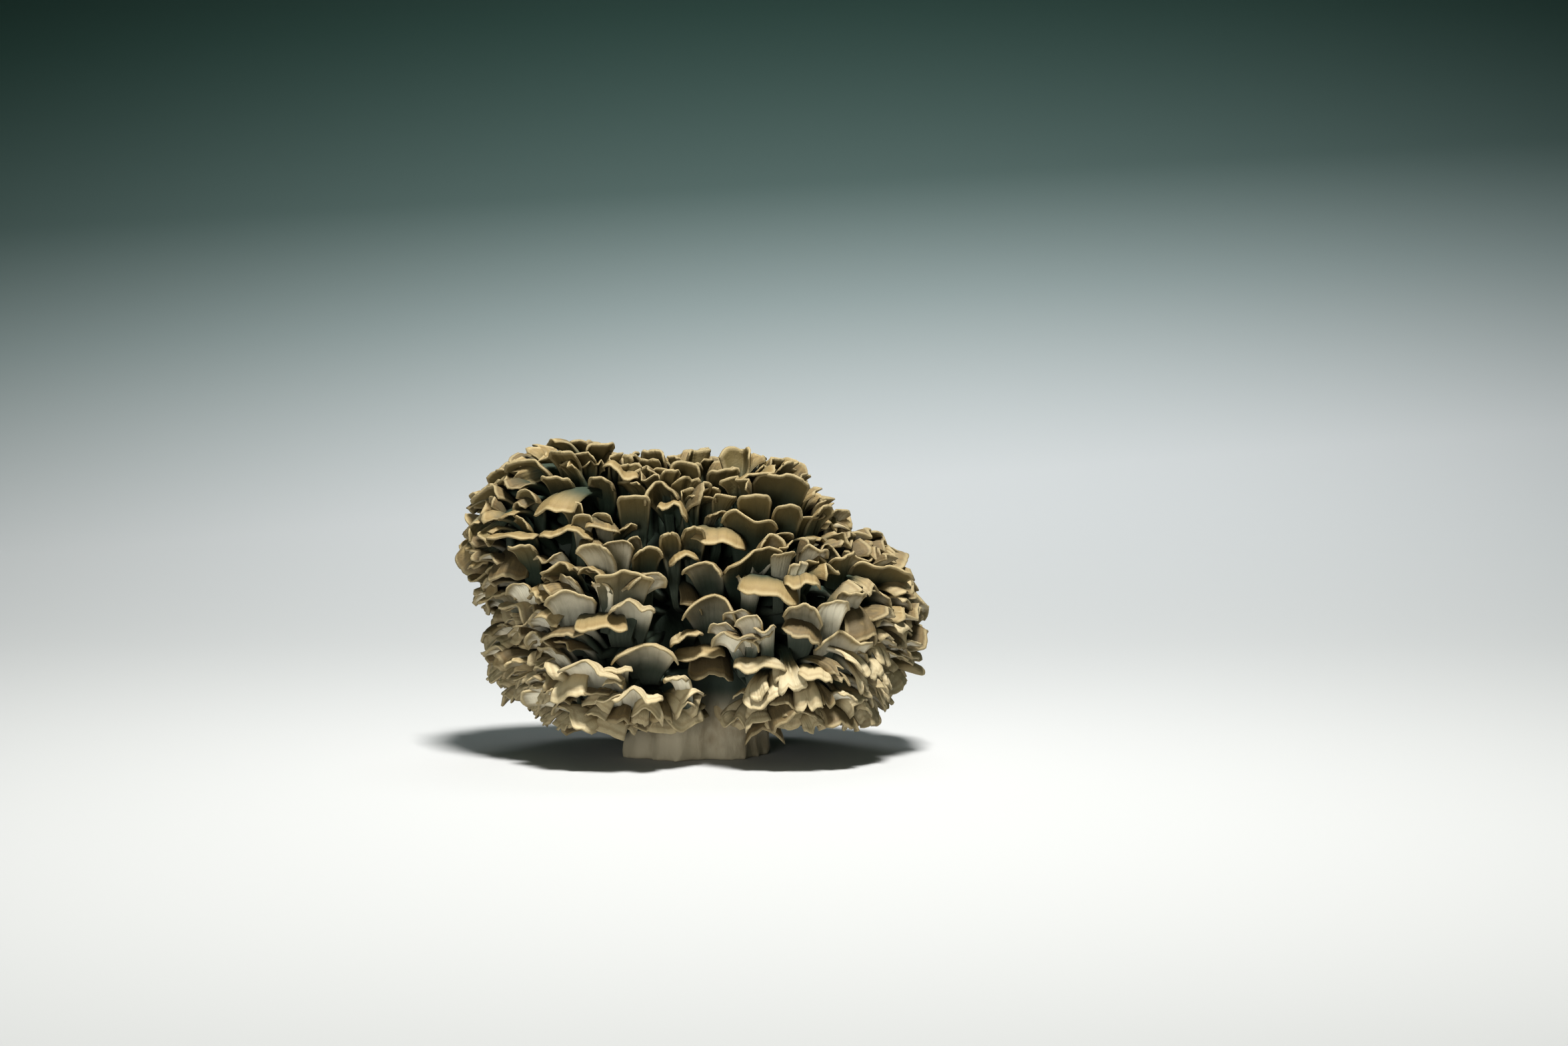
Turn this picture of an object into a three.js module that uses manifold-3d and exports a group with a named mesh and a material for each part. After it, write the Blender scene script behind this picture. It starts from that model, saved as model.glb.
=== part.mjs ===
// A maitake mushroom, also called hen of the woods: one fruiting body, picked whole.
// Wavy fan-shaped caps stand close together in layers round several swellings, and all of them
// grow from one thick stem, which is cut flat at the bottom.
// Millimetres, +Z up. The origin is the centre of the flat cut, and the broad side faces -Y.
import * as THREE from "three";
import { mergeVertices } from "three/addons/utils/BufferGeometryUtils.js";
import Module from "manifold-3d";

const SEED = 159;

// Where the tips of the caps reach: ellipsoids of caps, each with a centre and half-sizes.
const SWELLINGS = [
  { centre: [-37, 0, 67], half: [38, 39, 34] }, // upper left crown
  { centre: [-6, 0, 62], half: [38, 42, 37] }, // top
  { centre: [19, 0, 62], half: [30, 38, 36] }, // top right
  { centre: [30, 2, 42], half: [45, 44, 38] }, // right shoulder
  { centre: [-29, 0, 35], half: [39, 42, 28] }, // lower left
  { centre: [-23, -17, 49], half: [31, 37, 31] }, // front left
  { centre: [27, -15, 46], half: [31, 38, 32] }, // front right
  { centre: [-23, -21, 30], half: [32, 34, 26] }, // lower front left
  { centre: [33, -16, 28], half: [32, 38, 27] }, // lower front right
  { centre: [-20, 22, 40], half: [38, 36, 36] }, // back left
  { centre: [20, 24, 37], half: [38, 34, 34] }, // back right
];

// The layers of caps on a swelling.
const CAP_PITCH = 17; // from cap to cap along a layer
const LAYER_PITCH = 9.5; // from layer to layer
const FIRST_POLAR = 0.22; // radians from straight up
const LAST_POLAR = 2.45;
const TURN_JITTER = 0.35; // share of the step from cap to cap
const TILT_JITTER = 0.4; // share of the step from layer to layer
const LOWEST_TIP = 8;
const CLEARANCE = 0.93; // how far inside a neighbouring swelling a tip may sit, as a share
const ROUNDS = 3;
const FEWEST_CAPS = 3; // in a layer
const CLOSEST_TIPS = 12;
const HEIGHT_WEIGHT = 1.4; // height counts for more between tips, because caps are wide and thin

// How a cap grows: straight out, partly away from the stem's foot, and up or down by its height.
const FROM_FOOT = 0.5;
const LEVEL_HEIGHT = 32; // caps above it turn up, and caps below it droop
const TURN_UP = 0.016; // for each mm of height
const PITCH_SPREAD = 0.3; // radians
const ROLL_SPREAD = 0.7;

// One cap: a fan on a narrow stalk, bent down at its wavy rim.
const CAP_WIDTH = { least: 14, most: 19.8 };
const CAP_LENGTH = { least: 24.5, most: 29.5 };
const CAP_THICKNESS = 1.1;
const STALK_SHARE = 0.24; // the stalk's width as a share of the fan's
const CORNER_ROUNDING = 0.3;
const BEND_UP = 0.5; // radians, where the stalk starts
const BEND_DOWN = 0.45; // radians, at the rim
const CUP_SPREAD = 0.35; // how far the sides turn up or down, as a share of half the width
const WAVES = { least: 2.2, most: 3.8 }; // half waves along the rim
const RUFFLE = { least: 0.7, most: 2.1 }; // height of a wave
const MIDDLE_ROW = 0.66; // share of the length
const WIDE_CAP = 17.8; // a wider rim has four segments, and a narrower one three

// The fleshy inside that the caps stand out of, and the stem.
const FLESH_DEPTH = 14; // below the tips
const FLESH_DETAIL = 2;
const ROOT_SINK = 3; // least depth of a cap's root in the flesh
const STEM_OUTLINE = [
  [22, 0], // radius and height, from the cut up into the flesh
  [21.1, 6],
  [23.1, 16],
  [28.6, 30],
];
const STEM_SIDES = 18;
const STEM_RIDGES = [
  { count: 3, share: 0.1, turn: 1 }, // share of the radius, and turned by radians
  { count: 7, share: 0.07, turn: 0 },
];
const FINEST_DETAIL = 0.1; // smaller slivers where blades cross are left out
const SAME_POINT = 0.0001; // corners this close are one
const NEIGHBOUR_STEP = 0.02; // share of a blade from a point to those that show how it lies

const UP = new THREE.Vector3(0, 0, 1);
const STEM_FOOT = new THREE.Vector3(0, 0, 6);
const FLESH_MIDDLE = new THREE.Vector3(0, 0, 44);

// A seeded draw between 0 and 1.
let drawState = SEED;
function draw() {
  drawState = (Math.imul(drawState, 1664525) + 1013904223) >>> 0;
  return drawState / 4294967296;
}

// A draw between -1 and 1 that is most often near 0.
function drawBell() {
  return (draw() + draw() + draw()) / 1.5 - 1;
}

function drawFrom({ least, most }) {
  return least + (most - least) * draw();
}

// Where a cap's tip sits and how the cap is turned: out along its growth, up over its top, across.
function capFrame(tip, outward) {
  const growth = tip.clone().sub(STEM_FOOT).normalize().multiplyScalar(FROM_FOOT).add(outward);
  growth.addScaledVector(UP, TURN_UP * (tip.z - LEVEL_HEIGHT)).normalize();
  const over = UP.clone().addScaledVector(growth, -growth.z).normalize();
  const pitch = PITCH_SPREAD * drawBell();
  const roll = ROLL_SPREAD * drawBell();
  const across = new THREE.Vector3().crossVectors(over, growth);
  growth.applyAxisAngle(across, pitch);
  over.applyAxisAngle(across, pitch).applyAxisAngle(growth, roll);
  across.crossVectors(over, growth);
  return { growth, over, across };
}

function insideAnother(tip, own) {
  return SWELLINGS.some((other, index) => {
    if (index === own) return false;
    const [x, y, z] = ["x", "y", "z"].map((k, i) => (tip[k] - other.centre[i]) / other.half[i]);
    return Math.hypot(x, y, z) < CLEARANCE;
  });
}

// How far the flesh reaches from its middle in one direction: to the far side of the swellings.
function fleshReach(direction) {
  const reaches = SWELLINGS.map(({ centre, half }) => {
    const radii = new THREE.Vector3(...half).subScalar(FLESH_DEPTH);
    const from = FLESH_MIDDLE.clone().sub(new THREE.Vector3(...centre)).divide(radii);
    const along = direction.clone().divide(radii);
    const a = along.lengthSq();
    const b = from.dot(along);
    const root = b * b - a * (from.lengthSq() - 1);
    return root > 0 ? (Math.sqrt(root) - b) / a : 0;
  });
  return Math.max(...reaches);
}

// A point of a cap's middle surface: along runs 0 at the root to 1 at the rim, side from -1 to 1.
function capPoint(cap, along, side) {
  const reach = cap.length * (1 - CORNER_ROUNDING * Math.abs(side) ** 3);
  const bend = BEND_UP + BEND_DOWN;
  const angle = BEND_UP - bend * along;
  const out = (reach * (Math.sin(BEND_UP) - Math.sin(angle))) / bend;
  const rise = (reach * (Math.cos(angle) - Math.cos(BEND_UP))) / bend;
  const spread = STALK_SHARE + (1 - STALK_SHARE) * Math.sin((Math.PI / 2) * along);
  const wave = cap.ruffle * along ** 2 * Math.sin(Math.PI * cap.waves * side / 2 + cap.phase);
  return {
    out,
    rise: rise + (cap.cup * cap.width * side ** 2 * along) / 2 + wave,
    across: (side * spread * cap.width) / 2,
  };
}

// The same point in the mushroom's own frame, with the middle of the rim at the cap's tip.
function placeOnCap(cap, along, side) {
  const end = capPoint({ ...cap, ruffle: 0 }, 1, 0);
  const point = capPoint(cap, along, side);
  return cap.tip
    .clone()
    .addScaledVector(cap.growth, point.out - end.out)
    .addScaledVector(cap.over, point.rise - end.rise)
    .addScaledVector(cap.across, point.across);
}

// Whether a cap's root is sunk in the flesh.
function isRooted(cap) {
  const root = placeOnCap(cap, 0, 0).sub(FLESH_MIDDLE);
  return root.length() + ROOT_SINK < fleshReach(root.clone().normalize());
}

function gap(one, other) {
  return Math.hypot(one.x - other.x, one.y - other.y, HEIGHT_WEIGHT * (one.z - other.z));
}

// One cap of a layer of a swelling, with its own random size, turn and waves.
function drawCap({ centre, half }, turn, tilt) {
  const sphere = [Math.sin(tilt) * Math.cos(turn), Math.sin(tilt) * Math.sin(turn), Math.cos(tilt)];
  const tip = new THREE.Vector3(...sphere.map((d, k) => centre[k] + d * half[k]));
  const outward = new THREE.Vector3(...sphere.map((d, k) => d / half[k])).normalize();
  return {
    tip,
    ...capFrame(tip, outward),
    width: drawFrom(CAP_WIDTH),
    length: drawFrom(CAP_LENGTH),
    cup: CUP_SPREAD * drawBell(),
    phase: 2 * Math.PI * draw(),
    waves: drawFrom(WAVES),
    ruffle: drawFrom(RUFFLE),
  };
}

// Every cap of the mushroom, layer by layer on each swelling. Later rounds fill the gaps.
function placeCaps() {
  const caps = [];
  const isCrowded = (tip) => caps.some((other) => gap(other.tip, tip) < CLOSEST_TIPS);
  for (let round = 0; round < ROUNDS; round += 1) {
    SWELLINGS.forEach((swelling, own) => {
      const girth = (swelling.half[0] + swelling.half[1]) / 2;
      const step = LAYER_PITCH / ((girth + swelling.half[2]) / 2);
      for (let polar = FIRST_POLAR; polar < LAST_POLAR; polar += step) {
        const count = Math.max(FEWEST_CAPS, Math.round((2 * Math.PI * girth * Math.sin(polar)) / CAP_PITCH));
        const start = draw();
        for (let i = 0; i < count; i += 1) {
          const turn = (2 * Math.PI * (i + start + TURN_JITTER * drawBell())) / count;
          const cap = drawCap(swelling, turn, polar + TILT_JITTER * step * drawBell());
          const isOutside = cap.tip.z > LOWEST_TIP && !insideAnother(cap.tip, own);
          if (isOutside && !isCrowded(cap.tip) && isRooted(cap)) caps.push(cap);
        }
      }
    });
  }
  return caps;
}

// One closed blade: it starts at a point inside the flesh and gets wider in rows up to the rim.
// The top and the bottom are split into the same triangles.
function capGeometry(cap) {
  const rows = [
    [MIDDLE_ROW, 1],
    [1, cap.width > WIDE_CAP ? 4 : 3],
  ];
  const skin = (sign) =>
    rows.flatMap(([along, segments]) =>
      Array.from({ length: segments + 1 }, (_, i) => {
        const side = (2 * i) / segments - 1;
        const middle = placeOnCap(cap, along, side);
        const forward = placeOnCap(cap, along + NEIGHBOUR_STEP, side).sub(middle);
        const sideways = placeOnCap(cap, along, side + NEIGHBOUR_STEP).sub(middle);
        const normal = forward.cross(sideways).normalize();
        return middle.addScaledVector(normal, (sign * CAP_THICKNESS) / 2);
      }),
    );
  const points = [...skin(1), ...skin(-1)];
  const lower = points.length / 2;
  const root = points.push(placeOnCap(cap, 0, 0)) - 1;
  const faces = [];
  const bothSkins = (a, b, c) => faces.push(a, b, c, lower + a, lower + c, lower + b);
  const wall = (a, b) => faces.push(a, b, lower + b, a, lower + b, lower + a);
  const firstSegments = rows[0][1];
  for (let i = 0; i < firstSegments; i += 1) {
    faces.push(root, i, i + 1, root, lower + i + 1, lower + i);
  }
  faces.push(root, lower, 0, root, firstSegments, lower + firstSegments);
  let near = 0;
  rows.slice(1).forEach(([, farSegments], row) => {
    const nearSegments = rows[row][1];
    const far = near + nearSegments + 1;
    let i = 0;
    let j = 0;
    while (i < nearSegments || j < farSegments) {
      if (j < farSegments && (j + 0.5) / farSegments <= (i + 0.5) / nearSegments) {
        bothSkins(near + i, far + j, far + j + 1);
        j += 1;
      } else {
        bothSkins(near + i, far + j, near + i + 1);
        i += 1;
      }
    }
    wall(far, near);
    wall(near + nearSegments, far + farSegments);
    near = far;
  });
  for (let i = near; i < lower - 1; i += 1) wall(i + 1, i);
  return new THREE.BufferGeometry().setFromPoints(points).setIndex(faces);
}

// The fleshy inside that the caps stand out of.
function fleshGeometry() {
  const geometry = new THREE.IcosahedronGeometry(1, FLESH_DETAIL);
  const position = geometry.getAttribute("position");
  for (let i = 0; i < position.count; i += 1) {
    const direction = new THREE.Vector3().fromBufferAttribute(position, i).normalize();
    direction.multiplyScalar(fleshReach(direction)).add(FLESH_MIDDLE);
    position.setXYZ(i, direction.x, direction.y, direction.z);
  }
  return geometry;
}

// The stem: ridged where its branches run up into the flesh, and flat at the cut.
function stemGeometry() {
  const [, top] = STEM_OUTLINE.at(-1);
  const profile = [[0, 0], ...STEM_OUTLINE, [0, top]];
  const outline = profile.map(([radius, height]) => new THREE.Vector2(radius, height));
  const geometry = new THREE.LatheGeometry(outline, STEM_SIDES).rotateX(Math.PI / 2);
  const position = geometry.getAttribute("position");
  for (let i = 0; i < position.count; i += 1) {
    const x = position.getX(i);
    const y = position.getY(i);
    const around = Math.atan2(y, x);
    const ridges = STEM_RIDGES.map(({ count, share, turn }) => share * Math.sin(count * around + turn));
    const swell = ridges.reduce((sum, ridge) => sum + ridge, 1);
    position.setXY(i, x * swell, y * swell);
  }
  return geometry;
}

const wasm = await Module();
wasm.setup();

function solidFrom(geometry) {
  const bare = geometry.index ? geometry.toNonIndexed() : geometry.clone();
  bare.deleteAttribute("normal");
  bare.deleteAttribute("uv");
  const merged = mergeVertices(bare, SAME_POINT);
  return new wasm.Manifold(
    new wasm.Mesh({
      numProp: 3,
      vertProperties: merged.getAttribute("position").array,
      triVerts: new Uint32Array(merged.index.array),
    }),
  );
}

function geometryFrom(solid) {
  const mesh = solid.getMesh();
  const geometry = new THREE.BufferGeometry();
  geometry.setAttribute("position", new THREE.BufferAttribute(mesh.vertProperties, 3));
  geometry.setIndex(new THREE.BufferAttribute(mesh.triVerts, 1));
  geometry.computeVertexNormals();
  return geometry;
}

const caps = placeCaps();
const pieces = [stemGeometry(), fleshGeometry(), ...caps.map(capGeometry)];
const joined = wasm.Manifold.union(pieces.map(solidFrom)).simplify(FINEST_DETAIL);
// Sealed hollows between crossing caps are filled, and loose scraps are dropped.
const [whole] = joined.decompose().sort((a, b) => b.volume() - a.volume());

const maitake = new THREE.Mesh(
  geometryFrom(whole),
  new THREE.MeshStandardMaterial({ color: "#a8875a", roughness: 0.75, metalness: 0 }),
);
maitake.name = "maitake";

const group = new THREE.Group();
group.add(maitake);

export default group;
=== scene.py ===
import math

import bmesh
import bpy
import numpy as np
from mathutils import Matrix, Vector


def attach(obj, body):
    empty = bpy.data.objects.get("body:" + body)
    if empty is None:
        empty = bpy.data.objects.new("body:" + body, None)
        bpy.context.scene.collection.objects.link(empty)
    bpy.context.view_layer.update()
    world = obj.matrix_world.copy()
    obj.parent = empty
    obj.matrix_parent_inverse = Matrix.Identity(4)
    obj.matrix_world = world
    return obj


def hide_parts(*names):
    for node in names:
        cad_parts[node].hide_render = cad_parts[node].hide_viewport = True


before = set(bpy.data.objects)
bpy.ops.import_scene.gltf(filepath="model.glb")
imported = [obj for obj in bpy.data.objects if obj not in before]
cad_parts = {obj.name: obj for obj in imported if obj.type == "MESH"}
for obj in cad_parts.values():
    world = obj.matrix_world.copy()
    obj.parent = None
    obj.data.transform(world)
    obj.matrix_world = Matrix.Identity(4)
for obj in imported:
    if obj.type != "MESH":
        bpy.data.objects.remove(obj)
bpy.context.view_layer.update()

# The view
# A long lens looks across the studio and a little down, with the mushroom left of the middle
# and pale floor all round it.
LENS_MM = 85.0
VIEW_DOWN = math.radians(4.0)
VIEW_DISTANCE = 1.1846
VIEW_CENTRE = Vector((0.0289, 0.0, 0.074))

towards_camera = Vector((0.0, -math.cos(VIEW_DOWN), math.sin(VIEW_DOWN)))
camera_data = bpy.data.cameras.new("camera")
camera_data.lens = LENS_MM
camera = bpy.data.objects.new("camera", camera_data)
camera.location = VIEW_CENTRE + towards_camera * VIEW_DISTANCE
camera.rotation_euler = (-towards_camera).to_track_quat("-Z", "Y").to_euler()
bpy.context.scene.collection.objects.link(camera)
bpy.context.scene.camera = camera


# The studio
# A roll of pale paper lies under the mushroom and sweeps up far behind it, with painted shade
# darkening it towards its top and towards the left. A soft box hangs high in front, a second light
# falls on the paper behind, and weak light comes from low at the front left and from all round.
FLOOR_FRONT = -3.0
FLOOR_BACK = 0.35
FLOOR_HALF_WIDTH = 4.0
SWEEP_RADIUS = 2.6
SWEEP_STEPS = 48
SWEEP_TOP = 3.0
FLOOR_COLOUR = (0.455, 0.461, 0.470, 1.0)
PAPER_PALE_BELOW = 0.035
PAPER_PAINTED_SHADE = (
    (0.13, (0.26, 0.30, 0.30, 1.0)),
    (0.21, (0.115, 0.165, 0.155, 1.0)),
    (0.35, (0.085, 0.155, 0.135, 1.0)),
)
PAPER_SHADE_SLANT = 0.06
FLOOR_ROUGHNESS = 0.85
FLOOR_GRAIN = 0.02
FLOOR_GRAIN_SCALE = 400.0
FLOOR_GRAIN_DEPTH = 0.0002
SOFT_BOX_PLACE = Vector((0.12, -0.50, 1.20))
SOFT_BOX_AIM = Vector((0.0, 0.0, 0.05))
SOFT_BOX_SIDE = 0.24
SOFT_BOX_SPREAD = math.radians(100.0)
SOFT_BOX_WATTS = 8.8
SOFT_BOX_COLOUR = (1.0, 0.98, 0.94)
BACK_LIGHT_PLACE = Vector((0.1, 0.80, 1.05))
BACK_LIGHT_AIM = Vector((0.1, 0.95, 0.0))
BACK_LIGHT_SIDE = 0.6
BACK_LIGHT_SPREAD = math.radians(110.0)
BACK_LIGHT_WATTS = 3.8
BACK_LIGHT_COLOUR = (0.95, 0.98, 1.0)
FRONT_FILL_PLACE = Vector((-0.30, -1.20, 0.10))
FRONT_FILL_AIM = Vector((0.0, 0.0, 0.05))
FRONT_FILL_SIDE = 0.4
FRONT_FILL_SPREAD = math.radians(60.0)
FRONT_FILL_WATTS = 0.75
FRONT_FILL_COLOUR = (1.0, 0.98, 0.94)
ROOM_COLOUR = (0.20, 0.75, 0.53, 1.0)
ROOM_STRENGTH = 0.06


def plain_material(name, roughness):
    """A new material, with its tree and its shader."""
    material = bpy.data.materials.new(name)
    material.use_nodes = True
    shader = material.node_tree.nodes["Principled BSDF"]
    shader.inputs["Roughness"].default_value = roughness
    return material, material.node_tree, shader


def floor_paper():
    material, tree, shader = plain_material("studio_paper", FLOOR_ROUGHNESS)
    place = tree.nodes.new("ShaderNodeTexCoord")
    grain = tree.nodes.new("ShaderNodeTexNoise")
    grain.inputs["Scale"].default_value = FLOOR_GRAIN_SCALE
    bump = tree.nodes.new("ShaderNodeBump")
    bump.inputs["Strength"].default_value = FLOOR_GRAIN
    bump.inputs["Distance"].default_value = FLOOR_GRAIN_DEPTH
    tree.links.new(place.outputs["Object"], grain.inputs["Vector"])
    tree.links.new(grain.outputs["Fac"], bump.inputs["Height"])
    tree.links.new(bump.outputs["Normal"], shader.inputs["Normal"])
    split = tree.nodes.new("ShaderNodeSeparateXYZ")
    tree.links.new(place.outputs["Object"], split.inputs["Vector"])
    # Painted shade: the paper is pale low down and darkens to green-grey higher up, a little sooner on the
    # left.
    ramp = tree.nodes.new("ShaderNodeValToRGB")
    ramp.color_ramp.elements.remove(ramp.color_ramp.elements[1])
    ramp.color_ramp.elements[0].color = FLOOR_COLOUR
    ramp.color_ramp.elements[0].position = PAPER_PALE_BELOW
    for height, colour in PAPER_PAINTED_SHADE:
        ramp.color_ramp.elements.new(height).color = colour
    slant = tree.nodes.new("ShaderNodeMath")
    slant.operation = "MULTIPLY_ADD"
    slant.inputs[1].default_value = -PAPER_SHADE_SLANT
    tree.links.new(split.outputs["X"], slant.inputs[0])
    tree.links.new(split.outputs["Z"], slant.inputs[2])
    tree.links.new(slant.outputs["Value"], ramp.inputs["Fac"])
    tree.links.new(ramp.outputs["Color"], shader.inputs["Base Color"])
    return material


profile = [(FLOOR_FRONT, 0.0)]
for step in range(SWEEP_STEPS + 1):
    turn = step / SWEEP_STEPS * math.pi / 2
    rise = SWEEP_RADIUS * (1 - math.cos(turn))
    profile.append((FLOOR_BACK + SWEEP_RADIUS * math.sin(turn), rise))
profile.append((FLOOR_BACK + SWEEP_RADIUS, SWEEP_TOP))
floor_mesh = bpy.data.meshes.new("floor")
floor_mesh.from_pydata(
    [(x * FLOOR_HALF_WIDTH, y, z) for y, z in profile for x in (-1, 1)],
    [],
    [(2 * i, 2 * i + 1, 2 * i + 3, 2 * i + 2) for i in range(len(profile) - 1)],
)
floor_mesh.shade_smooth()
floor_mesh.materials.append(floor_paper())
floor = bpy.data.objects.new("floor", floor_mesh)
bpy.context.scene.collection.objects.link(floor)


def add_light(name, place, aim, side, spread, watts, colour):
    data = bpy.data.lights.new(name, "AREA")
    data.size = side
    data.spread = spread
    data.energy = watts
    data.color = colour
    light = bpy.data.objects.new(name, data)
    light.location = place
    light.rotation_euler = (aim - place).to_track_quat("-Z", "Y").to_euler()
    bpy.context.scene.collection.objects.link(light)


add_light(
    "soft_box",
    SOFT_BOX_PLACE,
    SOFT_BOX_AIM,
    SOFT_BOX_SIDE,
    SOFT_BOX_SPREAD,
    SOFT_BOX_WATTS,
    SOFT_BOX_COLOUR,
)
add_light(
    "back_light",
    BACK_LIGHT_PLACE,
    BACK_LIGHT_AIM,
    BACK_LIGHT_SIDE,
    BACK_LIGHT_SPREAD,
    BACK_LIGHT_WATTS,
    BACK_LIGHT_COLOUR,
)
add_light(
    "front_fill",
    FRONT_FILL_PLACE,
    FRONT_FILL_AIM,
    FRONT_FILL_SIDE,
    FRONT_FILL_SPREAD,
    FRONT_FILL_WATTS,
    FRONT_FILL_COLOUR,
)

room = bpy.data.worlds.new("room")
room.use_nodes = True
room.node_tree.nodes["Background"].inputs["Color"].default_value = ROOM_COLOUR
room.node_tree.nodes["Background"].inputs["Strength"].default_value = ROOM_STRENGTH
bpy.context.scene.world = room
bpy.context.scene.view_settings.view_transform = "Standard"
bpy.context.scene.view_settings.look = "Medium High Contrast"


# The large caps
# Each is a fan of firm flesh on a narrow stalk, brown and matt on top, pale and finely pored
# below, with a pale wavy rim. They grow in layers round eleven swellings, out of one stem.
SEED = 159
SWELLINGS = [
    ("crown", (-0.037, 0.0, 0.067), (0.038, 0.039, 0.034)),
    ("top", (-0.006, 0.0, 0.062), (0.038, 0.042, 0.037)),
    ("top_right", (0.019, 0.0, 0.062), (0.030, 0.038, 0.036)),
    ("right_shoulder", (0.030, 0.002, 0.042), (0.045, 0.044, 0.038)),
    ("lower_left", (-0.029, 0.0, 0.035), (0.039, 0.042, 0.028)),
    ("front_left", (-0.023, -0.017, 0.049), (0.031, 0.037, 0.031)),
    ("front_right", (0.027, -0.015, 0.046), (0.031, 0.038, 0.032)),
    ("lower_front_left", (-0.023, -0.021, 0.030), (0.032, 0.034, 0.026)),
    ("lower_front_right", (0.033, -0.016, 0.028), (0.032, 0.038, 0.027)),
    ("back_left", (-0.020, 0.022, 0.040), (0.038, 0.036, 0.036)),
    ("back_right", (0.020, 0.024, 0.037), (0.038, 0.034, 0.034)),
]
CENTRES = np.array([centre for _, centre, _ in SWELLINGS])
HALVES = np.array([half for _, _, half in SWELLINGS])

FIRST_POLAR = 0.22
LAST_POLAR = 2.45
TURN_JITTER = 0.35
TILT_JITTER = 0.4
LOWEST_TIP = 0.008
CLEARANCE = 0.93
HEIGHT_WEIGHT = 1.4
FEWEST_IN_LAYER = 3

FROM_FOOT = 0.5
LEVEL_HEIGHT = 0.032
TURN_UP = 16.0
PITCH_SPREAD = 0.3
ROLL_SPREAD = 0.7

STALK_SHARE = 0.4
CORNER_ROUNDING = 0.07
BEND_UP = 0.5
BEND_DOWN = 0.45
CUP_SPREAD = 0.35
WAVES = (2.2, 3.8)

FLESH_DEPTH = 0.014
ROOT_SINK = 0.003
UP = np.array((0.0, 0.0, 1.0))
STEM_FOOT = np.array((0.0, 0.0, 0.006))
FLESH_MIDDLE = np.array((0.0, 0.0, 0.044))

LARGE = {
    "cap_pitch": 0.017,
    "layer_pitch": 0.0095,
    "rounds": 3,
    "closest": 0.012,
    "width": (0.014, 0.0198),
    "length": (0.0245, 0.0295),
    "ruffle": (0.0007, 0.0021),
    "deepest_tip": 0.0,
}

DRAW_FACTOR = 1664525
DRAW_STEP = 1013904223
DRAW_RANGE = 2**32


class Draws:
    """Seeded random numbers, the ones that also place the solids' caps."""

    def __init__(self, seed):
        self.state = seed

    def one(self):
        self.state = (self.state * DRAW_FACTOR + DRAW_STEP) % DRAW_RANGE
        return self.state / DRAW_RANGE

    def bell(self):
        return (self.one() + self.one() + self.one()) / 1.5 - 1

    def between(self, least, most):
        return least + (most - least) * self.one()


def unit(vector):
    return vector / np.linalg.norm(vector)


def turned(vector, axis, angle):
    """vector, turned by angle about a unit axis."""
    straight = axis * (axis @ vector) * (1 - math.cos(angle))
    return vector * math.cos(angle) + np.cross(axis, vector) * math.sin(angle) + straight


def cap_frame(tip, outward, draws):
    """The way a cap grows, the way its top faces, and the way across it."""
    growth = unit(tip - STEM_FOOT) * FROM_FOOT + outward
    growth = unit(growth + UP * TURN_UP * (tip[2] - LEVEL_HEIGHT))
    over = unit(UP - growth * growth[2])
    pitch = PITCH_SPREAD * draws.bell()
    roll = ROLL_SPREAD * draws.bell()
    across = np.cross(over, growth)
    growth = turned(growth, across, pitch)
    over = turned(turned(over, across, pitch), growth, roll)
    return growth, over, np.cross(over, growth)


def inside_another(tip, own):
    shares = np.linalg.norm((tip - CENTRES) / HALVES, axis=1)
    shares[own] = CLEARANCE
    return shares.min() < CLEARANCE


def flesh_reach(direction):
    """How far the solids' flesh reaches from its middle."""
    radii = HALVES - FLESH_DEPTH
    start = (FLESH_MIDDLE - CENTRES) / radii
    along = direction / radii
    a = (along * along).sum(1)
    b = (start * along).sum(1)
    root = b * b - a * ((start * start).sum(1) - 1)
    far = (np.sqrt(np.maximum(root, 0)) - b) / a
    return np.where(root > 0, far, 0).max()


def is_rooted(cap):
    bend = BEND_UP + BEND_DOWN
    out = cap["length"] * (math.sin(BEND_UP) + math.sin(BEND_DOWN)) / bend
    rise = cap["length"] * (math.cos(BEND_DOWN) - math.cos(BEND_UP)) / bend
    root = cap["tip"] - cap["growth"] * out - cap["over"] * rise - FLESH_MIDDLE
    distance = np.linalg.norm(root)
    return distance + ROOT_SINK < flesh_reach(root / distance)


def is_crowded(tip, tips, closest):
    if not tips:
        return False
    apart = (np.array(tips) - tip) * (1, 1, HEIGHT_WEIGHT)
    return (apart * apart).sum(1).min() < closest * closest


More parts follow.
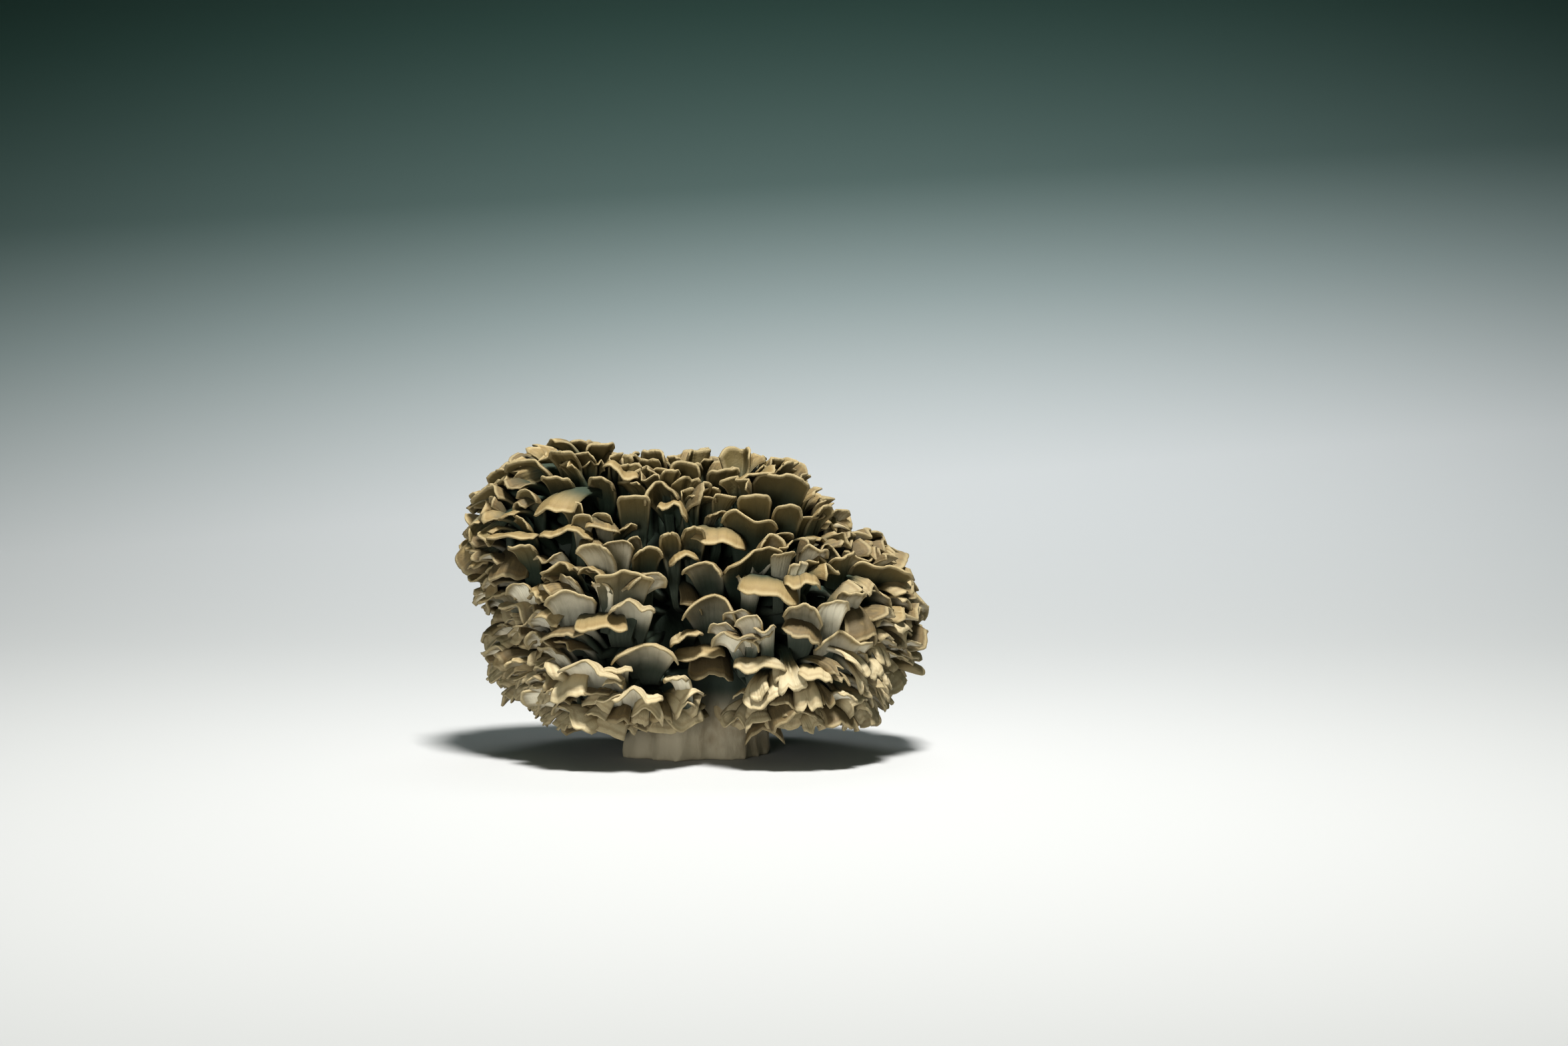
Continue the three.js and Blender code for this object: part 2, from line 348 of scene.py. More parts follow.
def place_caps(sizes, draws, standing=(), must_be_rooted=True):
    """Every cap of one size, layer by layer on each swelling, clear of those already standing."""
    caps = []
    tips = [cap["tip"] for cap in standing]
    for _ in range(sizes["rounds"]):
        for own, (name, centre, half) in enumerate(SWELLINGS):
            girth = (half[0] + half[1]) / 2
            step = sizes["layer_pitch"] / ((girth + half[2]) / 2)
            polar = FIRST_POLAR
            while polar < LAST_POLAR:
                around = 2 * math.pi * girth * math.sin(polar) / sizes["cap_pitch"]
                count = max(FEWEST_IN_LAYER, math.floor(around + 0.5))
                start = draws.one()
                for i in range(count):
                    turn = 2 * math.pi * (i + start + TURN_JITTER * draws.bell()) / count
                    tilt = polar + TILT_JITTER * step * draws.bell()
                    sphere = np.array(
                        (math.sin(tilt) * math.cos(turn), math.sin(tilt) * math.sin(turn), math.cos(tilt))
                    )
                    outward = unit(sphere / half)
                    tip = centre + sphere * half
                    growth, over, across = cap_frame(tip, outward, draws)
                    cap = {
                        "swelling": name,
                        "tip": tip,
                        "growth": growth,
                        "over": over,
                        "across": across,
                        "width": draws.between(*sizes["width"]),
                        "length": draws.between(*sizes["length"]),
                        "cup": CUP_SPREAD * draws.bell(),
                        "phase": 2 * math.pi * draws.one(),
                        "waves": draws.between(*WAVES),
                        "ruffle": draws.between(*sizes["ruffle"]),
                    }
                    if sizes["deepest_tip"]:
                        cap["tip"] = tip - outward * sizes["deepest_tip"] * draws.one()
                    fits = tip[2] > LOWEST_TIP and not inside_another(tip, own)
                    fits = fits and not is_crowded(cap["tip"], tips, sizes["closest"])
                    if fits and (not must_be_rooted or is_rooted(cap)):
                        caps.append(cap)
                        tips.append(cap["tip"])
                polar += step
    return caps


# What the finer caps have beyond the solids' ones: a folded and notched rim that flares down,
# a root that runs on to the middle of the flesh, and thickness that tapers to a rounded rim.
TABLE_TOP = 0.0018
STALK_THICKNESS = 0.0032
RIM_ROUNDING = 0.6
ROOT_RUN = 0.5
ROWS_TOWARDS_RIM = 1.7
COLUMNS_TOWARDS_SIDES = 0.25
RIPPLE = 0.12
RIPPLE_RATE = 3.1
CREASES_ACROSS = 2.2
CREASES_ALONG = 1.5
CREASES_APART = 9.0
CREASE_DEPTH = 0.0034
FLARE_START = 0.76
BROAD_WIDENING = 0.55
AT_RIM = 0.999
MERGE_DISTANCE = 1e-7
LOWEST_RIM = 0.0135

# How steeply the caps stand at each height, flatter at the lower right and towards both edges,
# and how much of its own rise, heading and roll each one has.
RISE_HEIGHTS = (0.010, 0.025, 0.040, 0.060, 0.080, 0.100)
RISE_ANGLES = np.radians((5.0, 32.0, 48.0, 60.0, 70.0, 80.0))
RISE_ANGLES_RIGHT = np.radians((-40.0, -10.0, 40.0, 60.0, 70.0, 80.0))
RIGHT_FROM = 0.010
RIGHT_TO = 0.030
EDGE_FROM = 0.042
EDGE_TO = 0.062
EDGE_SHARE = 0.55
OWN_RISE = 0.25
HEADING_HEIGHTS = (0.030, 0.055)
OWN_HEADINGS = (0.06, 0.42)
OWN_ROLL = 0.20

# Where the caps are wider, where some droop, where the lower sides are ragged, and where the
# top and the upper right are crinkled.
WIDE_BELOW = 0.070
WIDE_OVER = 0.030
DROOP = (0.5, 1.0)
DROOP_ABOVE = 0.030
RAGGED_BELOW = 0.034
RAGGED_LEFT = -0.044
RAGGED_RIGHT = 0.036
RAGGED_WIDTH = 0.8
RAGGED_TINT = 0.3
RAGGED_NOTCH = (0.05, 0.30)
CRINKLED_ABOVE = 0.086
CRINKLED_RIGHT = 0.032
CRINKLED_RIGHT_ABOVE = 0.055
LARGE.update(
    {
        "width_share_high": (0.45, 0.8),
        "width_share_low": (0.6, 1.05),
        "pitch": 0.18,
        "droop_chance": 0.14,
        "own_waves": (0.8, 2.6),
        "fan_start": (0.0, 0.18),
        "own_cup": 0.34,
        "corner": (0.0, 0.15),
        "widening": (1.0, 1.7),
        "lobes": (0.8, 2.6),
        "notch": (-0.16, 0.07),
        "flare": (0.0006, 0.0028),
        "rim_thickness": 0.0009,
        "root_share": 0.74,
        "crinkle": 1.0,
        "rows": 17,
        "columns": 21,
    }
)


class Field:
    """A number at every point of a mesh or a surface, worked out by Math nodes."""

    def __init__(self, tree, socket):
        self.tree = tree
        self.socket = socket

    def math(self, operation, *others):
        node = self.tree.nodes.new("ShaderNodeMath")
        node.operation = operation
        for socket, value in zip(node.inputs, (self, *others)):
            if isinstance(value, Field):
                self.tree.links.new(value.socket, socket)
            else:
                socket.default_value = value
        return Field(self.tree, node.outputs["Value"])

    def __add__(self, other):
        return self.math("ADD", other)

    def __sub__(self, other):
        return self.math("SUBTRACT", other)

    def __rsub__(self, other):
        return self.math("MULTIPLY", -1.0).math("ADD", other)

    def __mul__(self, other):
        return self.math("MULTIPLY", other)

    def __truediv__(self, other):
        return self.math("DIVIDE", other)

    def __pow__(self, other):
        return self.math("POWER", other)

    __radd__ = __add__
    __rmul__ = __mul__

    def sine(self):
        return self.math("SINE")

    def cosine(self):
        return self.math("COSINE")

    def size(self):
        return self.math("ABSOLUTE")

    def at_least(self, lowest):
        return self.math("MAXIMUM", lowest)


def parts_of(tree, vector):
    """The x, y and z of a vector."""
    node = tree.nodes.new("ShaderNodeSeparateXYZ")
    tree.links.new(vector, node.inputs["Vector"])
    return [Field(tree, part) for part in node.outputs]


def vector_of(tree, *parts):
    """The vector with this x, y and z."""
    node = tree.nodes.new("ShaderNodeCombineXYZ")
    for part, socket in zip(parts, node.inputs):
        tree.links.new(part.socket, socket)
    return node.outputs["Vector"]


def cap_tree():
    """Turns points, which hold a cap each, into closed fans of flesh with rounded rims."""
    tree = bpy.data.node_groups.new("fan_caps", "GeometryNodeTree")
    face = tree.interface
    face.new_socket("Points", in_out="INPUT", socket_type="NodeSocketGeometry")
    for name in ("Rows", "Columns"):
        face.new_socket(name, in_out="INPUT", socket_type="NodeSocketInt")
    for name in ("Rim Thickness", "Stalk Thickness"):
        face.new_socket(name, in_out="INPUT", socket_type="NodeSocketFloat")
    face.new_socket("Flesh", in_out="INPUT", socket_type="NodeSocketMaterial")
    face.new_socket("Caps", in_out="OUTPUT", socket_type="NodeSocketGeometry")
    given = tree.nodes.new("NodeGroupInput").outputs
    link = tree.links.new

    def named(name, kind="FLOAT"):
        node = tree.nodes.new("GeometryNodeInputNamedAttribute")
        node.data_type = kind
        node.inputs["Name"].default_value = name
        return node.outputs["Attribute"]

    def number(name):
        return Field(tree, named(name))

    def store(geometry, name, value, kind="FLOAT"):
        node = tree.nodes.new("GeometryNodeStoreNamedAttribute")
        node.data_type = kind
        node.domain = "POINT"
        node.inputs["Name"].default_value = name
        link(geometry, node.inputs["Geometry"])
        link(value, node.inputs["Value"])
        return node.outputs["Geometry"]

    def scaled(vector, amount):
        node = tree.nodes.new("ShaderNodeVectorMath")
        node.operation = "SCALE"
        link(vector, node.inputs[0])
        link(amount.socket, node.inputs["Scale"])
        return node.outputs["Vector"]

    # A flat sheet whose rows run from the root to the rim, closer together towards the rim.
    sheet = tree.nodes.new("GeometryNodeMeshGrid")
    link(given["Columns"], sheet.inputs["Vertices X"])
    link(given["Rows"], sheet.inputs["Vertices Y"])
    x, y, _ = parts_of(tree, tree.nodes.new("GeometryNodeInputPosition").outputs["Position"])
    left = x * -2.0
    up = y + 0.5
    even_out = 1.0 + COLUMNS_TOWARDS_SIDES - COLUMNS_TOWARDS_SIDES * (left * left)
    to_rim = (1.0 - up) ** ROWS_TOWARDS_RIM
    geometry = store(sheet.outputs["Mesh"], "side", (left * even_out).socket)
    geometry = store(geometry, "along", (1.0 - to_rim * (1.0 + ROOT_RUN)).socket)

    # One sheet for each cap.
    sheets = tree.nodes.new("GeometryNodeInstanceOnPoints")
    link(given["Points"], sheets.inputs["Points"])
    link(geometry, sheets.inputs["Instance"])
    real = tree.nodes.new("GeometryNodeRealizeInstances")
    link(sheets.outputs["Instances"], real.inputs["Geometry"])

    # The fan's middle surface, as on the solids, with notches, ripples and a flare added.
    side, along = number("side"), number("along")
    length, width = number("length"), number("width")
    grown = along.at_least(0.0)
    lobe = 1.0 - (side * number("lobes") * (math.pi / 2) + number("lobe_phase")).sine().size()
    grown = grown * (1.0 - number("notch") * lobe ** 3.0 * grown * grown)
    corner = number("corner") * side.size() ** 4.0 + CORNER_ROUNDING * side.size() ** 12.0
    reach = length * (1.0 - corner)
    bend = BEND_UP + BEND_DOWN
    angle = BEND_UP - bend * grown
    out = reach * (math.sin(BEND_UP) - angle.sine()) / bend
    rise = reach * (angle.cosine() - math.cos(BEND_UP)) / bend
    start = number("fan_start")
    fan = ((grown - start) / (1.0 - start)).at_least(0.0)
    spread = STALK_SHARE + (1.0 - STALK_SHARE) * fan ** number("widening")
    turns = side * number("waves") * (math.pi / 2)
    wave = (turns + number("phase")).sine() * fan * fan
    ripple = (turns * RIPPLE_RATE + number("phase") * 2.0).sine() * fan ** 4.0 * RIPPLE
    rise = rise + number("ruffle") * (wave + ripple)
    rise = rise + number("cup") * width * side * side * grown * 0.5
    flare = ((fan - FLARE_START) / (1.0 - FLARE_START)).at_least(0.0) ** 2.0
    rise = rise - number("flare") * flare
    crease_place = vector_of(
        tree, side * CREASES_ACROSS, grown * CREASES_ALONG, number("phase") * CREASES_APART
    )
    crease = tree.nodes.new("ShaderNodeTexNoise")
    crease.inputs["Scale"].default_value = 1.0
    link(crease_place, crease.inputs["Vector"])
    rise = rise + (Field(tree, crease.outputs["Fac"]) - 0.5) * fan * CREASE_DEPTH
    end_out = length * ((math.sin(BEND_UP) + math.sin(BEND_DOWN)) / bend)
    end_rise = length * ((math.cos(BEND_DOWN) - math.cos(BEND_UP)) / bend)
    steps = (
        ("growth", out - end_out),
        ("over", rise - end_rise),
        ("across", side * spread * width * 0.5),
        ("inward", (along * -1.0).at_least(0.0) * length),
    )
    place = named("tip", "FLOAT_VECTOR")
    for name, amount in steps:
        total = tree.nodes.new("ShaderNodeVectorMath")
        total.operation = "ADD"
        link(place, total.inputs[0])
        link(scaled(named(name, "FLOAT_VECTOR"), amount), total.inputs[1])
        place = total.outputs["Vector"]
    x, y, z = parts_of(tree, place)
    middle = tree.nodes.new("GeometryNodeSetPosition")
    link(real.outputs["Geometry"], middle.inputs["Geometry"])
    link(vector_of(tree, x, y, z.at_least(TABLE_TOP)), middle.inputs["Position"])

    # Thickness: a top skin raised from a flipped under skin, both closed round the rim.
    taper = (1.0 - fan) ** 2.0
    rim = Field(tree, given["Rim Thickness"])
    thick = rim + (Field(tree, given["Stalk Thickness"]) - rim) * taper
    at_side = side.size().math("GREATER_THAN", AT_RIM)
    edge = along.math("GREATER_THAN", AT_RIM).math("MAXIMUM", at_side)
    thick = thick * (1.0 - RIM_ROUNDING * edge)
    geometry = store(middle.outputs["Geometry"], "thick", thick.socket)
    normal = tree.nodes.new("GeometryNodeInputNormal").outputs["Normal"]
    geometry = store(geometry, "lift", normal, "FLOAT_VECTOR")
    raised = tree.nodes.new("GeometryNodeExtrudeMesh")
    raised.inputs["Individual"].default_value = False
    link(geometry, raised.inputs["Mesh"])
    link(named("lift", "FLOAT_VECTOR"), raised.inputs["Offset"])
    link(named("thick"), raised.inputs["Offset Scale"])
    top_skin = store(raised.outputs["Mesh"], "skin", raised.outputs["Top"])
    under = tree.nodes.new("GeometryNodeFlipFaces")
    link(geometry, under.inputs["Mesh"])
    both = tree.nodes.new("GeometryNodeJoinGeometry")
    link(under.outputs["Mesh"], both.inputs["Geometry"])
    link(top_skin, both.inputs["Geometry"])
    closed = tree.nodes.new("GeometryNodeMergeByDistance")
    closed.inputs["Distance"].default_value = MERGE_DISTANCE
    link(both.outputs["Geometry"], closed.inputs["Geometry"])
    centred = tree.nodes.new("GeometryNodeSetPosition")
    link(closed.outputs["Geometry"], centred.inputs["Geometry"])
    link(scaled(named("lift", "FLOAT_VECTOR"), number("thick") * -0.5), centred.inputs["Offset"])
    smooth = tree.nodes.new("GeometryNodeSetShadeSmooth")
    link(centred.outputs["Geometry"], smooth.inputs["Geometry"])
    finish = tree.nodes.new("GeometryNodeSetMaterial")
    link(smooth.outputs["Geometry"], finish.inputs["Geometry"])
    link(given["Flesh"], finish.inputs["Material"])
    result = tree.nodes.new("NodeGroupOutput")
    link(finish.outputs["Geometry"], result.inputs["Caps"])
    return tree


TOP_DARK = (0.10, 0.074, 0.035, 1.0)
TOP_PALE = (0.25, 0.182, 0.080, 1.0)
TOP_CREAM = (0.52, 0.45, 0.30, 1.0)
RIM_LINE = (0.19, 0.130, 0.056, 1.0)
RIM_PALE = (0.34, 0.275, 0.155, 1.0)
UNDER_TAN = (0.15, 0.114, 0.045, 1.0)
UNDER_GOLD = (0.27, 0.215, 0.115, 1.0)
UNDER_CREAM = (0.86, 0.81, 0.66, 1.0)
UNDER_SHADE = (0.13, 0.105, 0.052, 1.0)
# DEEP_SHADE is painted shade: a green-black that stands in for the shade deep between the caps.
DEEP_SHADE = (0.014, 0.033, 0.022, 1.0)
CAP_ROUGHNESS = 0.72
FINE_DETAIL = 5.0
STREAKS_ACROSS = 5.0
STREAKS_ALONG = 1.4
STREAKS_APART = 60.0
MOTTLE_SCALE = 330.0
PATCH_SCALE = 60.0
PORE_SCALE = 1800.0
CAP_RELIEF = 0.0004

# The heights over which the low caps' cream ends, and the spans from root 0 to rim 1, and from the
# middle 0 to the side 1, over which a cap's colours and its painted shade towards the root change.
CREAM_HEIGHTS = (0.044, 0.072)
SHADE_SPAN = (0.50, 1.0)
DEEPEST_SHADE = 0.94
GOLD_SPAN = (0.82, 1.04)
LINE_BEGINS = (0.90, 0.94)
LINE_ENDS = (0.945, 0.97)
LINE_SHARE = 0.4
RIM_SPAN = (0.955, 0.985)
SIDE_SPAN = (0.93, 0.98)


def fade(value, low, high):
    """0 up to low, 1 from high on, and a smooth rise between."""
    node = value.tree.nodes.new("ShaderNodeMapRange")
    node.interpolation_type = "SMOOTHSTEP"
    value.tree.links.new(value.socket, node.inputs["Value"])
    node.inputs["From Min"].default_value = low
    node.inputs["From Max"].default_value = high
    return Field(value.tree, node.outputs["Result"])


def blend(share, first, second):
    """The first colour where share is 0, the second where it is 1."""
    node = share.tree.nodes.new("ShaderNodeMix")
    node.data_type = "RGBA"
    factor, *colours = [socket for socket in node.inputs if socket.enabled]
    share.tree.links.new(share.socket, factor)
    for socket, colour in zip(colours, (first, second)):
        if isinstance(colour, bpy.types.NodeSocket):
            share.tree.links.new(colour, socket)
        else:
            socket.default_value = colour
    return next(socket for socket in node.outputs if socket.enabled)


def grain(tree, place, scale, detail=3.0):
    """Noise of about 0 to 1, finer with a larger scale."""
    node = tree.nodes.new("ShaderNodeTexNoise")
    node.inputs["Scale"].default_value = scale
    node.inputs["Detail"].default_value = detail
    tree.links.new(place, node.inputs["Vector"])
    return Field(tree, node.outputs["Fac"])


def relief(shader, height, depth):
    """Raises the surface by up to depth where height is 1."""
    node = height.tree.nodes.new("ShaderNodeBump")
    node.inputs["Distance"].default_value = depth
    height.tree.links.new(height.socket, node.inputs["Height"])
    height.tree.links.new(node.outputs["Normal"], shader.inputs["Normal"])


def cap_flesh():
    """Firm flesh: mottled brown tops, pale rims, undersides that pale towards the stem, and painted shade
    that darkens every cap towards its root.
    """
    material, tree, shader = plain_material("cap_flesh", CAP_ROUGHNESS)
    place = tree.nodes.new("ShaderNodeTexCoord").outputs["Object"]

    def number(name):
        node = tree.nodes.new("ShaderNodeAttribute")
        node.attribute_name = name
        return Field(tree, node.outputs["Fac"])

    along, side, skin, tint = (number(name) for name in ("along", "side", "skin", "tint"))
    _, _, height = parts_of(tree, place)

    streak_place = vector_of(
        tree, side * STREAKS_ACROSS, along * STREAKS_ALONG, tint * STREAKS_APART
    )
    streaks = grain(tree, streak_place, 1.0)
    mottle = grain(tree, place, MOTTLE_SCALE, FINE_DETAIL)
    patches = grain(tree, place, PATCH_SCALE)

    mix = mottle * 0.4 + streaks * 0.35 + patches * 0.25 + (tint - 0.5) * 0.3
    top = blend(fade(mix, 0.40, 0.66), TOP_DARK, TOP_PALE)

    low = 1.0 - fade(height + (tint - 0.5) * 0.04 + (patches - 0.5) * 0.02, *CREAM_HEIGHTS)
    top = blend(low * fade(tint, 0.3, 0.6) * fade(along, 0.5, 0.9) * 0.8, top, TOP_CREAM)
    near_rim = fade(along + (streaks - 0.5) * 0.25, *GOLD_SPAN)
    under = blend(near_rim, UNDER_CREAM, UNDER_GOLD)
    under = blend(low, UNDER_TAN, under)
    under = blend(fade(streaks, 0.45, 0.75) * 0.2, under, UNDER_SHADE)

    at_side = fade(side.size(), *SIDE_SPAN) * fade(along, 0.5, 0.8)
    rim = fade(along, *RIM_SPAN).math("MAXIMUM", at_side)
    line_place = along + (streaks - 0.5) * 0.02
    line = fade(line_place, *LINE_BEGINS) * (1.0 - fade(line_place, *LINE_ENDS))
    top = blend(line * LINE_SHARE, top, RIM_LINE)
    colour = blend(skin, under, top)
    colour = blend(rim * (0.45 + mottle * 0.4), colour, RIM_PALE)
    # Painted shade: each cap darkens towards its root, less on the low caps, as if shade fell in the depths
    # between them.
    deep = DEEPEST_SHADE - DEEPEST_SHADE * fade(along + low * 0.28, *SHADE_SPAN)
    colour = blend(deep, colour, DEEP_SHADE)
    tree.links.new(colour, shader.inputs["Base Color"])
    tree.links.new((0.6 + mottle * 0.3).socket, shader.inputs["Roughness"])
    pores = grain(tree, place, PORE_SCALE)
    relief(shader, mottle * 0.5 + streaks * 0.9 + pores * 0.3, CAP_RELIEF)
    return material


def set_rise(caps, sizes, chance):
    """Turns the caps up the more the higher they grow, and sets each one's width, waves and tint."""
    for cap in caps:
        cap["tip"][2] = max(cap["tip"][2], LOWEST_RIM)
        x, _, z = cap["tip"]
        right = min(1.0, max(0.0, (x - RIGHT_FROM) / (RIGHT_TO - RIGHT_FROM)))
        rise = np.interp(z, RISE_HEIGHTS, RISE_ANGLES)
        rise += right * (np.interp(z, RISE_HEIGHTS, RISE_ANGLES_RIGHT) - rise)
        rise *= 1.0 - EDGE_SHARE * min(1.0, max(0.0, (abs(x) - EDGE_FROM) / (EDGE_TO - EDGE_FROM)))
        rise += OWN_RISE * (math.asin(cap["growth"][2]) - rise) + sizes["pitch"] * chance.normal()
        if chance.random() < sizes["droop_chance"] and z > DROOP_ABOVE:
            rise -= chance.uniform(*DROOP)
        heading = np.interp(z, HEADING_HEIGHTS, OWN_HEADINGS) * chance.uniform(-1, 1)
        level = turned(unit(cap["growth"] * (1, 1, 0)), UP, heading)
        cap["growth"] = level * math.cos(rise) + UP * math.sin(rise)
        across = unit(np.cross(cap["over"], cap["growth"]))
        cap["across"] = turned(across, cap["growth"], OWN_ROLL * chance.normal())
        cap["over"] = np.cross(cap["growth"], cap["across"])
        high = chance.uniform(*sizes["width_share_high"])
        wide = chance.uniform(*sizes["width_share_low"])
        cap["width"] *= high + (wide - high) * min(1.0, max(0.0, (WIDE_BELOW - z) / WIDE_OVER))
        cap["waves"] = chance.uniform(*sizes["own_waves"])
        cap["cup"] = sizes["own_cup"] * chance.normal()
        cap["tint"] = chance.random()
        if z > CRINKLED_ABOVE or x > CRINKLED_RIGHT and z > CRINKLED_RIGHT_ABOVE:
            cap["waves"] *= sizes["crinkle"]
            cap["ruffle"] *= sizes["crinkle"]
        cap["ragged"] = z < RAGGED_BELOW and not RAGGED_LEFT < x < RAGGED_RIGHT
        if cap["ragged"]:
            cap["width"] *= RAGGED_WIDTH
            cap["tint"] = RAGGED_TINT + chance.random()


def add_rim_detail(caps, sizes, chance):
    """Gives each cap its own notches, corners and flare, and the way its root runs on."""
    bend = BEND_UP + BEND_DOWN
    for cap in caps:
        for key in ("fan_start", "corner", "widening", "lobes", "flare"):
            cap[key] = chance.uniform(*sizes[key])
        cap["lobe_phase"] = chance.uniform(0, math.pi)
        notch = RAGGED_NOTCH if cap.get("ragged") else sizes["notch"]
        cap["notch"] = max(0.0, chance.uniform(*notch))
        if "bare" in cap:
            cap["widening"] *= BROAD_WIDENING
        out = cap["length"] * (math.sin(BEND_UP) + math.sin(BEND_DOWN)) / bend
        rise = cap["length"] * (math.cos(BEND_DOWN) - math.cos(BEND_UP)) / bend
        root = cap["tip"] - cap["growth"] * out - cap["over"] * rise
        cap["inward"] = unit(FLESH_MIDDLE - root)


# Caps that face the viewer, most of them broad, listed after the photograph in place of what the
# rule grows there. Each row has how far across and up its tip is seen, its width, how far below
# the tip it stays bare, its rise, heading and roll in degrees, and its cup, waves, phase, ruffle
# and tint.
BROAD_CAPS = [
    (-0.0521, 0.0945, 0.0184, 0.0058, 62, -30, -3, -0.25, 3.0, 1.0, 0.0008, 0.5),
    (-0.0367, 0.1009, 0.0075, 0.0055, 80, -5, 0, 0.2, 1.5, 0.0, 0.0005, 0.4),
    (-0.0470, 0.0794, 0.0149, 0.0014, -6, -38, 4, -0.3, 2.0, 0.0, 0.0006, 1.5),
    (-0.0406, 0.0714, 0.0166, 0.0008, 14, -5, 6, -0.12, 3.3, 0.5, 0.0008, 1.0),
    (-0.0608, 0.0697, 0.0184, 0.0008, 20, -38, 0, 0.35, 2.2, 1.0, 0.0012, 0.9),
    (-0.0546, 0.0678, 0.0085, 0.0033, 60, -20, 0, 0.2, 2.0, 0.0, 0.0008, 0.9),
    (-0.0209, 0.0584, 0.0184, 0.0044, 62, 10, -5, 0.0, 2.6, 1.2, 0.0018, 0.7),
    (-0.0388, 0.0520, 0.0162, 0.0028, 50, -10, 6, 0.0, 2.4, 2.0, 0.0010, 0.6),
    (-0.0185, 0.0495, 0.0141, 0.0022, 38, 0, -4, 0.0, 3.0, 2.2, 0.0016, 0.6),
    (0.0094, 0.0697, 0.0179, 0.0008, 6, 5, -10, -0.08, 3.0, 0.0, 0.0006, 1.0),
    (0.0186, 0.0770, 0.0179, 0.0055, 60, 5, -14, 0.25, 2.2, 3.6, 0.0022, 0.9),
    (0.0290, 0.0899, 0.0184, 0.0050, 68, 22, -15, 0.0, 4.0, 0.0, 0.0009, 0.5),
    (0.0101, 0.0915, 0.0107, 0.0067, 76, 5, 10, 0.3, 1.5, 0.0, 0.0006, 0.4),
    (0.0038, 0.0623, 0.0124, 0.0022, 45, -10, 0, -0.4, 1.5, 0.5, 0.0006, 0.6),
    (0.0203, 0.0654, 0.0205, 0.0033, 50, 5, 20, 0.0, 2.8, 0.8, 0.0012, 0.8),
    (0.0260, 0.0526, 0.0192, 0.0008, 3, 5, -13, -0.05, 3.0, 1.0, 0.0006, 1.3),
    (0.0068, 0.0518, 0.0171, 0.0042, 46, 0, -4, -0.7, 2.0, 0.5, 0.0010, 0.8),
    (0.0619, 0.0610, 0.0201, 0.0061, 58, 38, -22, 0.0, 3.6, 0.0, 0.0010, 0.9),
    (0.0488, 0.0644, 0.0094, 0.0047, 65, 10, 20, 0.4, 1.6, 0.0, 0.0008, 0.8),
    (0.0504, 0.0381, 0.0196, 0.0033, 50, 20, -8, 0.0, 3.0, 2.6, 0.0024, 0.9),
    (0.0369, 0.0384, 0.0128, 0.0008, 0, 5, -26, -0.1, 2.0, 0.0, 0.0006, 0.1),
    (-0.0147, 0.0354, 0.0205, 0.0017, 34, 0, 2, -0.32, 2.0, 0.3, 0.0009, 1.0),
    (-0.0323, 0.0294, 0.0205, 0.0028, 42, -10, -9, 0.0, 3.0, 2.0, 0.0018, 0.9),
    (0.0026, 0.0330, 0.0158, 0.0006, 16, 0, 4, -0.03, 2.0, 0.0, 0.0004, 1.2),
    (-0.0056, 0.0258, 0.0068, 0.0033, 42, -15, 0, 0.5, 1.0, 0.0, 0.0003, 0.8),
    (0.0067, 0.0247, 0.0141, 0.0006, -22, 5, -3, -0.12, 2.0, 0.5, 0.0008, -0.3),
    (-0.0171, 0.0205, 0.0162, 0.0022, 34, 0, -3, 0.0, 3.2, 2.0, 0.0020, 0.9),
    (0.0410, 0.0250, 0.0107, 0.0006, 8, 8, -16, -0.05, 2.0, 0.0, 0.0006, 1.1),
    (-0.0017, 0.0384, 0.0107, 0.0006, 20, 0, 16, -0.25, 1.5, 0.0, 0.0004, 1.0),
    (0.0363, 0.0566, 0.0111, 0.0011, 20, 5, -2, 0.0, 2.4, 0.0, 0.0010, 0.8),
    (0.0371, 0.0478, 0.0124, 0.0028, 48, 8, -18, 0.0, 2.2, 1.2, 0.0012, 0.8),
    (0.0461, 0.0499, 0.0107, 0.0033, 62, 15, 0, 0.1, 1.6, 0.0, 0.0005, 0.4),
    (0.0525, 0.0523, 0.0085, 0.0025, 55, 25, -18, 0.2, 1.6, 0.0, 0.0006, 0.7),
    (-0.0286, 0.0414, 0.0162, 0.0006, 5, 0, 2, -0.06, 3.0, 1.0, 0.0006, 1.4),
    (-0.0401, 0.0200, 0.0120, 0.0006, -8, -15, 8, -0.15, 2.0, 0.0, 0.0008, 1.0),
    (0.0226, 0.0286, 0.0162, 0.0006, 12, 5, 0, -0.05, 2.6, 0.0, 0.0010, 0.5),
    (-0.0184, 0.0832, 0.0102, 0.0044, 78, 0, 0, 0.0, 2.0, 0.0, 0.0003, 0.4),
    (0.0201, 0.0832, 0.0107, 0.0028, 72, 0, 0, 0.1, 2.0, 0.0, 0.0004, 0.4),
    (0.0311, 0.0806, 0.0094, 0.0039, 66, 15, -12, 0.1, 2.0, 0.0, 0.0005, 0.6),
    (-0.0286, 0.0896, 0.0081, 0.0017, 55, 0, -24, 0.0, 1.6, 0.0, 0.0004, 0.5),
    (-0.0435, 0.0892, 0.0102, 0.0014, 50, -10, -12, 0.0, 1.6, 0.0, 0.0004, 0.8),
    (-0.0060, 0.0811, 0.0098, 0.0010, 30, 0, -6, 0.0, 3.0, 0.5, 0.0012, 0.9),
    (-0.0070, 0.0715, 0.0064, 0.0020, 62, -8, 5, 0.2, 1.6, 0.0, 0.0006, 0.5),
    (-0.0026, 0.0640, 0.0092, 0.0006, 22, 0, 14, 0.0, 2.2, 1.0, 0.0008, 0.9),
    (-0.0137, 0.0661, 0.0094, 0.0015, 50, 5, 8, 0.0, 2.0, 0.6, 0.0008, 0.7),
    (0.0010, 0.0735, 0.0075, 0.0020, 58, 5, -8, 0.1, 1.8, 0.0, 0.0006, 0.4),
]
EYE_DISTANCE = VIEW_DISTANCE * math.cos(VIEW_DOWN)
